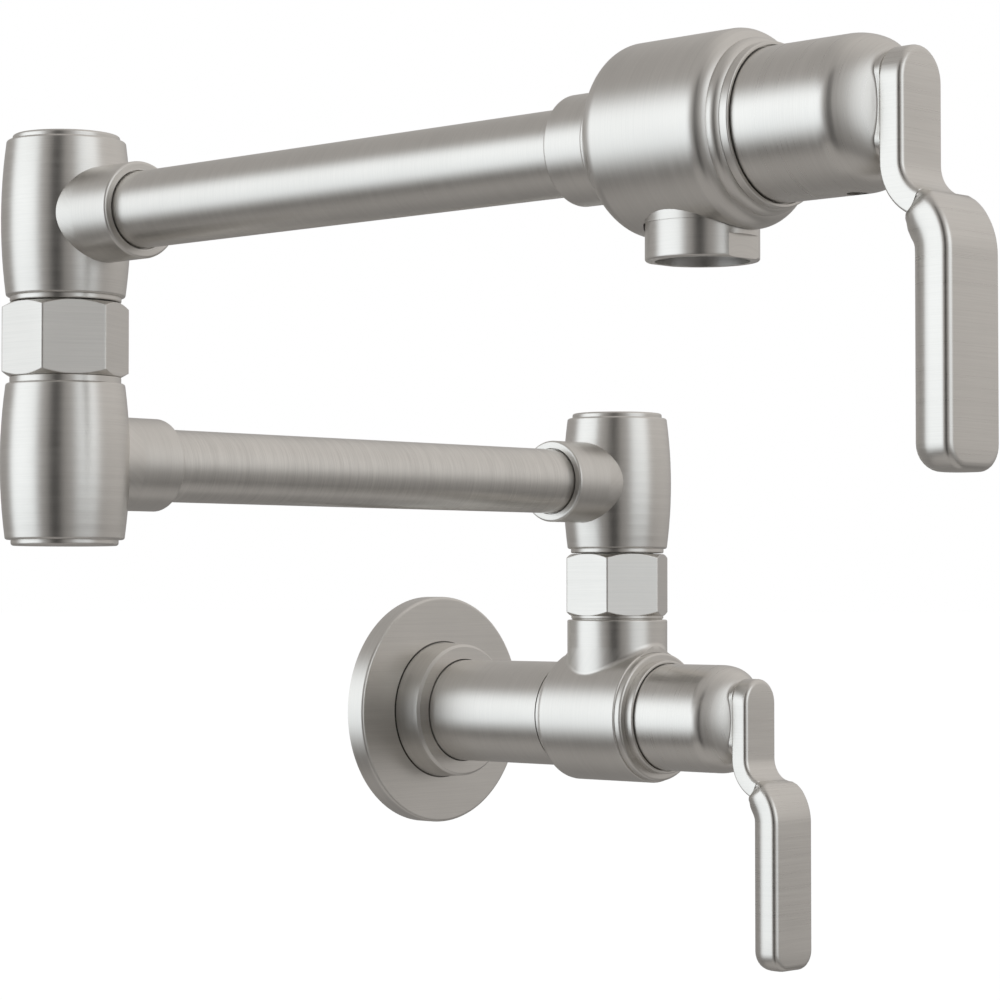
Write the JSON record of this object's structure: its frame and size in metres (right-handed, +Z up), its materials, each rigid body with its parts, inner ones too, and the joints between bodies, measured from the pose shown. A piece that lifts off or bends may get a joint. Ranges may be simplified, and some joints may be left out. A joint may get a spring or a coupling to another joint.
{
  "type": "wall mounted pot filler",
  "caption": "Wall mounted pot filler: wall flange and inlet valve, two swivelling arms and an outlet valve, each valve with a quarter-turn lever handle.",
  "frame": {"origin": "centre of the inlet's mouth, in the plane of the wall", "axes": "+Y into the wall along the lower valve's axis, +Z up along the swivel axes, +X to the right seen from the room"},
  "size_m": [0.2696, 0.3584, 0.2253],
  "materials": {
    "flange_nickel": "brushed nickel plate, brushed across the disc",
    "body_nickel": "brushed nickel plate, turned marks round the axis",
    "barrel_nickel": "brushed nickel plate, turned marks round the axis",
    "tube_nickel": "brushed nickel plate, fine marks round the tube",
    "hex_nickel": "brushed nickel plate, marks across the flats",
    "handle_nickel": "brushed nickel plate, marks across the lever",
    "brass": "plain turned brass",
    "steel": "stainless steel",
    "ceramic": "polished alumina ceramic",
    "rubber": "black nitrile rubber",
    "plastic": "off-white acetal"
  },
  "bodies": {
    "wall_valve": {"wall_flange": "flange_nickel", "flange_o_ring": "rubber", "inlet_shank": "body_nickel", "lower_valve_body": "body_nickel", "lower_bonnet_ring": "body_nickel", "lower_cartridge": "brass", "lower_seat_seal": "rubber", "lower_fixed_disc": "ceramic", "post_spigot": "hex_nickel", "post_o_rings": "rubber", "post_clip": "steel"},
    "lower_lever": {"lower_moving_disc": "ceramic", "lower_spindle": "brass", "lower_handle": "handle_nickel", "lower_grub_screw": "steel"},
    "lower_arm": {"post_bush": "plastic", "post_barrel": "barrel_nickel", "post_washer": "plastic", "post_cap": "barrel_nickel", "lower_arm_tube": "tube_nickel", "elbow_lower_barrel": "barrel_nickel", "elbow_lower_cap": "barrel_nickel", "elbow_spigot": "hex_nickel", "elbow_o_rings": "rubber", "elbow_clip": "steel"},
    "upper_arm": {"elbow_bush": "plastic", "elbow_upper_barrel": "barrel_nickel", "elbow_washer": "plastic", "elbow_upper_cap": "barrel_nickel", "upper_arm_tube": "tube_nickel", "outlet_collar": "tube_nickel", "outlet_valve_body": "body_nickel", "upper_bonnet_ring": "body_nickel", "upper_cartridge": "brass", "upper_seat_seal": "rubber", "upper_fixed_disc": "ceramic", "outlet_nozzle": "body_nickel", "aerator_washer": "rubber", "aerator": "plastic"},
    "upper_lever": {"upper_moving_disc": "ceramic", "upper_spindle": "brass", "upper_handle": "handle_nickel", "upper_grub_screw": "steel"}
  },
  "joints": [
    {"name": "wall_swivel", "type": "hinge", "parent": "wall_valve", "child": "lower_arm", "pos_m": [0, -0.0808, 0.07045], "axis": [0, 0, 1], "range_deg": [0, 180]},
    {"name": "elbow_swivel", "type": "hinge", "parent": "lower_arm", "child": "upper_arm", "pos_m": [-0.213, -0.0808, 0.13215], "axis": [0, 0, 1], "continuous": true},
    {"name": "lower_valve_turn", "type": "hinge", "parent": "wall_valve", "child": "lower_lever", "pos_m": [0, -0.1014, 0], "axis": [0, -1, 0], "range_deg": [0, 90]},
    {"name": "upper_valve_turn", "type": "hinge", "parent": "upper_arm", "child": "upper_lever", "pos_m": [-0.213, -0.3112, 0.13215], "axis": [0, -1, 0], "range_deg": [0, 90]}
  ]
}
